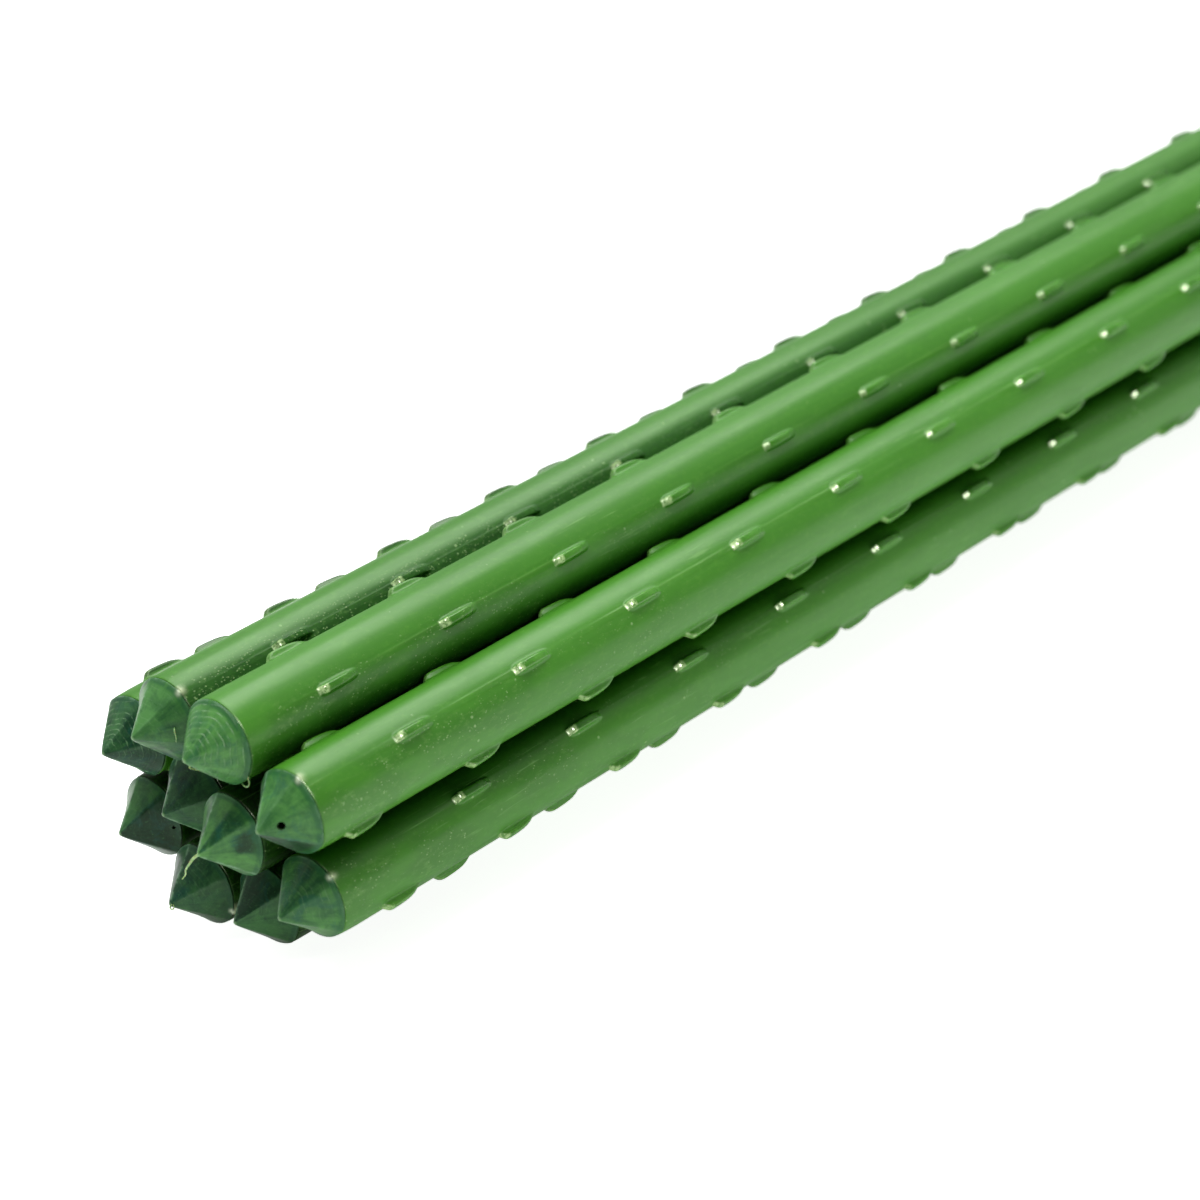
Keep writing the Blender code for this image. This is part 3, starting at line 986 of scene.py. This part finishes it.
def green_coating(key, index, axis, rim):
    """Extruded polyethylene: even colour, faint draw lines, scuffs and specks."""
    x, y, z = index * 0.37, index * 0.191, index * 0.53
    mat = Material(f"coating_{key}", (x, y, z))
    blotch = mat.noise(detail=2.0, stretch=(70, 22, 70))
    draw = mat.noise(rough=0.6, stretch=(1500, 7, 1500))
    grain = mat.noise(scale=5200.0, detail=2.0, rough=0.6)
    mottle = mat.noise(scale=1500.0, rough=0.6, stretch=(1, 0.7, 1))
    peel = mat.noise(scale=620.0, detail=2.0, stretch=(1, 0.6, 1))
    smear = mat.noise(detail=4.0, rough=0.62, distort=0.8, stretch=(260, 60, 260),
                      shift=(y, z, x))
    scuff_field = mat.noise(rough=0.6, distort=0.6, stretch=(2600, 130, 2600))
    scuff_mask = mat.noise(detail=1.0, stretch=(60, 34, 60), shift=(z, x, y))
    scuffs = mat.times(mat.fade(scuff_field, across=(0.60, 0.70)),
                       mat.fade(scuff_mask, across=(0.52, 0.68)))
    speck_mask = mat.noise(scale=170.0, detail=1.0, shift=(y, z, x))
    specks = mat.times(mat.fade(mat.cells(scale=620.0), across=(0.15, 0.08)),
                       mat.fade(speck_mask, across=(0.60, 0.66)))
    frost, haze, nicks = frosting(mat, key, axis, rim, mottle)
    nub = mat.attribute("nub")
    line_breaks = mat.noise(detail=2.0, stretch=(300, 40, 300))
    line = mat.times(mat.attribute("line"), mat.fade(line_breaks, across=(0.40, 0.62)))
    torn = mat.attribute("torn")
    nub_edge = mat.times(mat.fade(nub, across=(0.55, 0.85)), mat.fade(nub, across=(1.0, 0.90)))

    # The body colour, its painted shade, its draw lines, its mottling and its smears.
    base = mat.mix((0.046, 0.230, 0.008), (0.062, 0.280, 0.014),
                   amount=mat.ramp(blotch, across=(0.30, 0.70)))
    base = mat.mix(base, (0.020, 0.120, 0.006), amount=SHADE.get(key, 0.0))
    base = mat.mix(base, (0.086, 0.320, 0.024),
                   amount=mat.ramp(draw, across=(0.3, 0.75), to=(0.0, 0.30)))
    base = mat.mix(base, (0.108, 0.350, 0.034),
                   amount=mat.fade(mottle, across=(0.50, 0.72), to=(0.0, 0.30)))
    base = mat.mix(base, (0.022, 0.130, 0.006),
                   amount=mat.fade(smear, across=(0.44, 0.62), to=(0, 0.12)))
    # The sides of a nub are stretched thinner and rub pale along its edges.
    base = mat.mix(base, (0.150, 0.440, 0.060), amount=mat.times(nub_edge, 0.25))
    if key in "ab":  # one row of nubs on these gets painted shade, on the side away from the light
        shadowed = mat.times(mat.fade(nub, across=(0.15, 0.6), to=(0, 0.75)),
                             mat.facing(axis, 120.0, full=16.0, faded=34.0))
        base = mat.mix(base, (0.018, 0.082, 0.014), amount=shadowed)
    base = mat.mix(base, (0.200, 0.480, 0.090), amount=mat.times(line, 0.30))
    frosted = mat.times(frost, 0.20 + 0.45 * FROST[key][2])
    base = mat.mix(base, (0.030, 0.150, 0.010), amount=frosted)
    side_shade = 0.0
    # Painted shade on the side of the marker that the next marker shades.
    if key in SIDE_SHADE:
        toward, full, faded, strength, reach = SIDE_SHADE[key]
        side_shade = mat.times(
            mat.facing(axis, toward, full, faded),
            mat.near_tip(across=(rim + reach, rim + 0.3 * reach), to=(0, strength)),
        )
        side_shade_colour = (0.012, 0.070, 0.012) if key in "be" else (0.005, 0.020, 0.005)
        patchy = mat.ramp(mottle, across=(0.35, 0.65), to=(0.7, 1.0))
        base = mat.mix(base, side_shade_colour, amount=mat.times(side_shade, patchy))
    # Wear, from the faintest to the strongest.
    base = mat.mix(base, (0.230, 0.470, 0.120), amount=mat.times(haze, 0.26))
    base = mat.mix(base, (0.260, 0.540, 0.150), amount=mat.times(scuffs, 0.45))
    base = mat.mix(base, (0.420, 0.660, 0.270), amount=mat.times(specks, 0.50))
    base = mat.mix(base, (0.480, 0.720, 0.300), amount=mat.times(nicks, 0.62))
    # The near ends of the nubs are painted pale: partly wear, partly painted highlight,
    # strongest on rows facing 28.5 degrees.
    end_wear_and_highlight = mat.times(
        mat.attribute("nose"),
        mat.fade(mat.noise(scale=1900.0, rough=0.7), across=(0.40, 0.56), to=(0.2, 1.0)),
        mat.near_tip(across=(rim + 0.14, rim + 0.04), to=(0.55, 0.92)),
    )
    base = mat.mix(base, (0.640, 0.880, 0.400), amount=end_wear_and_highlight)
    # Painted shade where the markers crowd each other.
    base, left = mat.painted_occlusion_shade(base, distance=0.0090, amount=0.50)
    # Torn burrs are painted nearly white: paler torn plastic, and a painted highlight where
    # they catch the light.
    base = mat.mix(base, (0.880, 0.980, 0.620), amount=mat.times(torn, 0.95))

    # Scuffs are duller; nubs and torn plastic are glossier.
    rough = mat.ramp(smear, across=(0.30, 0.70), to=(0.31, 0.43))
    rough = mat.add(rough, mat.times(scuffs, 0.15))
    rough = mat.math("SUBTRACT", rough, mat.times(nub, 0.16), clamp=True)
    rough = mat.math("SUBTRACT", rough, mat.times(torn, 0.15), clamp=True)
    normal = mat.bumps(
        (peel, 0.00003, 0.40),
        (mottle, 0.000012, 0.5),
        (grain, 0.000006, 0.5),
        (draw, 0.000010, 0.35),
        (line, 0.00004, 0.6),
        (scuffs, 0.00001, 0.8),
        (specks, 0.00004, 0.8),
        (nicks, 0.00003, 0.8),
    )
    unshaded = mat.math("SUBTRACT", 1.0, mat.times(side_shade, 0.8))
    shine = mat.times(mat.ramp(left, across=(0.1, 0.7), to=(0.12, 0.5)), unshaded)
    mat.set(
        Base_Color=base, Roughness=rough, Normal=normal, IOR=1.51,
        Specular_IOR_Level=shine, Specular_Tint=(0.92, 1.0, 0.84),
        Coat_Weight=mat.ramp(left, across=(0.1, 0.7), to=(0.0, 0.04)), Coat_Roughness=0.12,
    )
    return mat.material


def turning_marks(mat, along, cloud, rub):
    """The pale burnished lip of each turning mark and the dark groove beside it."""
    phase = mat.math("FRACT", mat.add(mat.attribute("turns"), mat.times(cloud, 0.5)))
    side = mat.add(mat.times(mat.attribute("round_x"), 0.42),
                   mat.times(mat.attribute("round_z"), 0.91))
    broken = mat.times(
        mat.fade(rub, across=(0.44, 0.60), to=(0.10, 1.0)),
        mat.ramp(along, across=(0.12, 0.30)),
        mat.fade(side, across=(-0.35, 0.75), to=(0.12, 1.0)),
    )
    lip = mat.times(mat.fade(phase, across=(0.66, 0.80)),
                    mat.fade(phase, across=(0.95, 0.86)), broken)
    groove = mat.times(mat.fade(phase, across=(0.93, 0.99)), broken)
    return lip, groove


def green_tip(key, index):
    """Moulded point: dark and bluish, streaked by its flow, with painted light and shade on
    its faces and pale edges that are partly wear and partly painted highlight.
    """
    x, y, z = index * 0.71, index * 0.23, index * 0.41
    mat = Material(f"tip_{key}", (x, y, z))
    # How light the point is painted overall is painted light and shade.
    light, turned = TIPS[key].paleness, TIPS[key].turned
    cloud = mat.noise(scale=330.0, detail=4.0, rough=0.66, distort=0.9)
    fine = mat.noise(scale=2600.0, rough=0.6)
    flow = mat.noise(rough=0.6, distort=1.2, stretch=(300, 220, 300), shift=(y, x, z))
    rub = mat.noise(scale=800.0, rough=0.6, shift=(z, x, y))
    along = mat.attribute("along")
    tone = mat.attribute("tone")
    dark = (0.007 + 0.020 * light, 0.042 + 0.085 * light, 0.021 + 0.018 * light)
    pale = (0.034 + 0.105 * light, 0.130 + 0.280 * light, 0.044 + 0.045 * light)
    blue = (0.007 + 0.010 * light, 0.060 + 0.070 * light, 0.044 + 0.040 * light)
    # Streaks that run from the point to the rim, different on each marker.
    spoke = mat.node("ShaderNodeCombineXYZ")
    mat.put(spoke.inputs[0], mat.attribute("round_x"))
    mat.put(spoke.inputs[1], mat.add(mat.times(along, 0.30), 3.7 * index))
    mat.put(spoke.inputs[2], mat.attribute("round_z"))
    streak = mat.noise(scale=4.5, detail=4.0, rough=0.62, distort=0.5, vector=spoke.outputs[0])
    # Each face's tone is painted light and shade; darker faces are also painted bluer.
    lift = mat.add(mat.ramp(cloud, across=(0.34, 0.66), to=(-0.34, 0.34)), tone)
    lift = mat.add(lift, mat.ramp(streak, across=(0.35, 0.65), to=(-0.17, 0.17)))
    base = mat.mix(dark, pale, amount=mat.ramp(lift, across=(0.10, 1.00)))
    base = mat.mix(base, (0.005, 0.032, 0.008),
                   amount=mat.ramp(lift, across=(0.10, -0.50), to=(0, 0.85)))
    bluish = mat.times(mat.fade(flow, across=(0.50, 0.66), to=(0.0, 0.70)),
                       mat.ramp(tone, across=(0.80, 0.30), to=(0.20, 1.0)))
    base = mat.mix(base, blue, amount=bluish)
    base = mat.mix(base, (0.10, 0.30, 0.10),
                   amount=mat.fade(fine, across=(0.58, 0.72), to=(0.0, 0.35)))
    # Towards the rim the sheath's own green comes through.
    base = mat.mix(base, (0.050, 0.240, 0.030),
                   amount=mat.fade(along, across=(0.82, 1.0), to=(0.0, 0.50 * light)))
    lip, groove = turning_marks(mat, along, cloud, rub)
    base = mat.mix(base, (0.008, 0.050, 0.022), amount=mat.times(groove, 0.75 * turned))
    base = mat.mix(base, (0.330, 0.560, 0.290), amount=mat.times(lip, 0.72 * turned))
    # A dark band at the rim, a pale point, and pale creases that are partly wear and partly
    # painted highlight.
    band = mat.times(mat.fade(along, across=(0.90, 0.95)),
                     mat.fade(rub, across=(0.36, 0.50), to=(0.3, 1.0)))
    base = mat.mix(base, (0.012, 0.075 + 0.03 * light, 0.040), amount=mat.times(band, 0.60))
    base = mat.mix(base, (0.360, 0.600, 0.280),
                   amount=mat.fade(along, across=(0.075, 0.02), to=(0.0, 0.55)))
    wear_and_highlight = mat.times(mat.attribute("crease"),
                     mat.fade(rub, across=(0.42, 0.60), to=(0.12, 1.0)))
    base = mat.mix(base, (0.300, 0.540, 0.310), amount=mat.times(wear_and_highlight, 0.66))
    # Painted shade where the points crowd each other.
    base, left = mat.painted_occlusion_shade(base, distance=0.0120, amount=0.80)
    # Torn burrs are painted nearly white: paler torn plastic, and a painted highlight where
    # they catch the light.
    torn = mat.times(mat.attribute("torn"), 0.95)
    base = mat.mix(base, (0.860, 0.980, 0.700), amount=torn)
    normal = mat.bumps(
        (cloud, 0.00012, 0.35),
        (flow, 0.00006, 0.50),
        (streak, 0.00010, 0.35),
        (lip, 0.00006, 0.70 * turned),
        (fine, 0.00001, 0.5),
    )
    mat.set(
        Base_Color=base, Normal=normal, IOR=1.50,
        Roughness=mat.ramp(cloud, across=(0.25, 0.75), to=(0.26, 0.40)),
        Specular_IOR_Level=mat.ramp(left, across=(0.1, 0.7), to=(0.08, 0.30)),
        Specular_Tint=(0.86, 1.0, 0.86),
        Coat_Weight=mat.ramp(left, across=(0.1, 0.7), to=(0.0, 0.05)), Coat_Roughness=0.12,
    )
    return mat.material


def torn_plastic():
    """Thin shreds look paler than the solid plastic, because light gets through."""
    mat = Material("torn_plastic")
    cloud = mat.noise(scale=2200.0, rough=0.6)
    mat.set(
        Base_Color=mat.mix((0.24, 0.50, 0.14), (0.50, 0.74, 0.32),
                           amount=mat.ramp(cloud, across=(0.35, 0.65))),
        Roughness=mat.ramp(cloud, across=(0.3, 0.7), to=(0.30, 0.5)),
        Normal=mat.bumps((cloud, 0.00002, 0.5)),
        Subsurface_Weight=0.25, Subsurface_Scale=0.0006,
    )
    return mat.material


def green_cap(key, index):
    """Moulded cap: slightly clouded green, rubbed pale in places."""
    mat = Material(f"cap_{key}", (index * 0.47, index * 0.29, index * 0.61))
    cloud = mat.noise(scale=180.0, detail=2.0)
    grain = mat.noise(scale=4200.0, detail=2.0, rough=0.6)
    rub = mat.noise(scale=900.0, detail=4.0, rough=0.6, distort=0.5)
    base = mat.mix((0.040, 0.175, 0.030), (0.058, 0.225, 0.040),
                   amount=mat.ramp(cloud, across=(0.3, 0.7)))
    base = mat.mix(base, (0.14, 0.34, 0.12),
                   amount=mat.fade(rub, across=(0.60, 0.75), to=(0.0, 0.4)))
    mat.set(
        Base_Color=base, IOR=1.51,
        Roughness=mat.ramp(rub, across=(0.3, 0.75), to=(0.30, 0.44)),
        Normal=mat.bumps((grain, 0.000008, 0.6), (rub, 0.00002, 0.3)),
    )
    return mat.material


def steel_tube(index):
    """Thin welded tube: drawn lines along it, a little tarnish."""
    mat = Material(f"steel_{index}")
    lines = mat.noise(rough=0.6, stretch=(2400, 5, 2400), shift=(index, 0, 0))
    stain = mat.noise(detail=4.0, rough=0.6, stretch=(90, 40, 90), shift=(0, index, 0))
    mat.set(
        Base_Color=mat.mix((0.58, 0.59, 0.60), (0.36, 0.34, 0.31),
                           amount=mat.ramp(stain, across=(0.4, 0.75))),
        Metallic=1.0,
        Roughness=mat.ramp(lines, across=(0.3, 0.7), to=(0.30, 0.46)),
        Normal=mat.bumps((lines, 0.00001, 0.5)),
    )
    return mat.material


def strap_plastic():
    """Embossed polypropylene strapping: black, slightly milky where it is rubbed."""
    mat = Material("strap_plastic")
    cloud = mat.noise(scale=240.0, rough=0.6)
    fibres = mat.noise(rough=0.6, stretch=(300, 3200, 300))
    raised = mat.attribute("nub")
    base = mat.mix((0.012, 0.012, 0.014), (0.026, 0.026, 0.028),
                   amount=mat.ramp(cloud, across=(0.3, 0.7)))
    base = mat.mix(base, (0.075, 0.075, 0.08), amount=mat.times(raised, 0.35))
    base = mat.mix(base, (0.11, 0.11, 0.115),
                   amount=mat.fade(fibres, across=(0.60, 0.74), to=(0.0, 0.5)))
    rough = mat.ramp(cloud, across=(0.3, 0.7), to=(0.34, 0.46))
    mat.set(
        Base_Color=base, Roughness=mat.add(rough, mat.times(raised, 0.08)),
        Normal=mat.bumps((fibres, 0.00002, 0.5)),
    )
    return mat.material


def floor_paper():
    """Matt pale paper that glows a little, and more as the camera sees it."""
    mat = Material("studio_floor")
    soft = mat.noise(scale=3.0, detail=2.0)
    seen = mat.node("ShaderNodeLightPath").outputs["Is Camera Ray"]
    mat.set(
        Base_Color=mat.mix((0.86, 0.86, 0.86), (0.88, 0.88, 0.88), amount=soft),
        Roughness=0.9, Specular_IOR_Level=0.0,
        Emission_Color=(1.0, 1.0, 1.0), Emission_Strength=mat.add(0.32, mat.times(seen, 0.60)),
    )
    return mat.material


# -------------------------------------------------------------------- pieces
sheaths = bpy.data.collections.new("sheaths")  # what the spark lamp lights
shred_material = torn_plastic()


def build_marker(index, key):
    """The sheath, tip, shreds and cap of one marker, and its tube's material."""
    body = "pack" if key == "j" else f"marker_{key}"
    sheath_low, sheath_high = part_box(f"marker_{key}_sheath")
    tip_low, tip_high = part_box(f"marker_{key}_tip")
    cap_low, cap_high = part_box(f"marker_{key}_cap")
    axis = axis_of(key)
    radius = (sheath_high.x - sheath_low.x) / 2
    rim = sheath_low.y - END_GAP
    cap_seat = sheath_high.y + END_GAP

    mesh = Sheath(
        f"sheath_{key}", key, axis, rim + 0.00020, cap_seat - 0.00012, radius, rim
    ).build()
    sheath = add_piece(
        f"marker_{key}_nubbed_sheath", mesh, green_coating(key, index, axis, rim), body,
        f"marker_{key}_sheath",
    )
    sheaths.objects.link(sheath)

    apex, cone = tip_low.y, rim - tip_low.y
    mesh = tip_mesh(f"tip_{key}", key, axis, apex, cone, radius - 0.00004, tip_high.y)
    tip = add_piece(
        f"marker_{key}_moulded_tip", mesh, green_tip(key, index), body,
        f"marker_{key}_tip",
    )
    for where, *hole in PINHOLES:
        if where == key:
            drill(tip, axis, apex, cone, radius, *hole)

    for number, (where, degrees, share, course, thickness) in enumerate(SHREDS):
        if where == key:
            theta = math.radians(degrees)
            out = Vector((math.cos(theta), 0.0, math.sin(theta)))
            root = Vector((axis.x, apex + cone * share, axis.z)) + out * (radius * share)
            points = [root + Vector(p) * MM for p in course]
            mesh = shred_mesh(f"shred_{number}", points, thickness)
            name = f"marker_{key}_plastic_shred_{number + 1}"
            add_piece(name, mesh, shred_material, body)

    mesh = cap_mesh(f"cap_{key}", axis, cap_low.y, cap_high.y, turn=index * 0.4)
    add_piece(
        f"marker_{key}_domed_cap", mesh, green_cap(key, index), body,
        f"marker_{key}_cap",
    )
    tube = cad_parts[f"marker_{key}_tube"].data
    tube.materials.clear()
    tube.materials.append(steel_tube(index))
    tube.shade_smooth()


for index, key in enumerate(MARKERS):
    build_marker(index, key)

outer_axes = [axis_of(key) for key in OUTER_MARKERS]
strap_material = strap_plastic()
for node in ("strap_front", "strap_rear"):
    mesh = strap_mesh(f"{node}_band", node, outer_axes)
    add_piece(f"{node}_band", mesh, strap_material, "pack", node)

# --------------------------------------------------------------------- stage
bpy.ops.mesh.primitive_plane_add(size=60.0, location=(0, 0, -0.0002))
floor = bpy.context.object
floor.name = "studio_floor"
floor.data.materials.append(floor_paper())


def build_world():
    """White to the camera; otherwise a dome, brighter overhead, with a dark side."""
    dark_side = (0.73, -0.63, 0.26)
    world = bpy.data.worlds.new("studio")
    scene.world = world
    world.use_nodes = True
    world.node_tree.nodes.clear()
    sky = Graph(world.node_tree)
    direction = sky.node("ShaderNodeTexCoord").outputs["Generated"]
    split = sky.node("ShaderNodeSeparateXYZ")
    sky.put(split.inputs[0], direction)
    dome = sky.ramp(split.outputs["Z"], across=(0.0, 1.0), to=(0.42, 0.95))
    toward = sky.node("ShaderNodeVectorMath")
    toward.operation = "DOT_PRODUCT"
    sky.put(toward.inputs[0], direction)
    sky.put(toward.inputs[1], dark_side)
    shade = sky.fade(toward.outputs["Value"], across=(0.0, 0.80), to=(1.0, 0.07))
    pick = sky.node("ShaderNodeMix")
    pick.data_type = "FLOAT"
    sky.put(pick.inputs[0], sky.node("ShaderNodeLightPath").outputs["Is Camera Ray"])
    sky.put(pick.inputs[2], sky.times(dome, shade))
    sky.put(pick.inputs[3], 1.0)
    back = sky.node("ShaderNodeBackground")
    sky.put(back.inputs["Strength"], pick.outputs[0])
    sky.put(sky.node("ShaderNodeOutputWorld").inputs["Surface"], back.outputs[0])


build_world()
LIT_SPOT = Vector((0.0, cad_low.y + 0.09, 0.02))  # where the lamps aim, near the tips


def area_light(name, offset, size, power, colour=(1, 1, 1), shape="RECTANGLE"):
    """A lamp set off from the lit spot and aimed at it."""
    data = bpy.data.lights.new(name, "AREA")
    data.shape = shape
    data.size, data.size_y = size
    data.energy = power
    data.color = colour
    light = add_object(name, data)
    light.location = LIT_SPOT + Vector(offset)
    aim = LIT_SPOT - (LIT_SPOT + Vector(offset))
    light.rotation_euler = aim.to_track_quat("-Z", "Y").to_euler()
    return light


area_light("key_softbox", offset=(-0.06, 0.12, 0.85), size=(0.58, 1.40), power=9.3)
# A small bright lamp in front, above the camera's side: it only shows as sparks
# on the near ends of the nubs, and on nothing else.
spark = area_light(
    "nub_sparks", offset=(0.75, -0.90, 0.85), size=(0.26, 0.26), power=46.0,
    colour=(0.95, 1.0, 0.84), shape="DISK",
)
spark.visible_diffuse = False
spark.visible_transmission = False
spark.visible_volume_scatter = False
spark.light_linking.receiver_collection = sheaths
catch = area_light("catch_light", offset=(0.45, -0.62, 0.62), size=(0.06, 0.06), power=0.25)
catch.visible_diffuse = False

# -------------------------------------------------------------------- camera
CAMERA_PLACE = Vector((0.311844, -0.659400, 0.188233))
FOCUS_DISTANCE = 0.415
right = Vector((0.7112168, 0.6809934, -0.1744096))
up = Vector((-0.1456976, 0.3855130, 0.9111267))
backward = right.cross(up).normalized()
up = backward.cross(right).normalized()
right.normalize()

lens = bpy.data.cameras.new("camera")
camera = add_object("camera", lens)
turned_axes = Matrix((right, up, backward)).transposed().to_4x4()
camera.matrix_world = Matrix.Translation(CAMERA_PLACE) @ turned_axes
lens.sensor_fit = "HORIZONTAL"
lens.sensor_width = 36.0
lens.lens = 102.89
lens.clip_start = 0.01
lens.clip_end = 100.0
focus = add_object("focus_point", None)
focus.location = CAMERA_PLACE - backward * FOCUS_DISTANCE
lens.dof.use_dof = True
lens.dof.focus_object = focus
lens.dof.aperture_fstop = 24.0
scene.camera = camera
scene.view_settings.view_transform = "Standard"
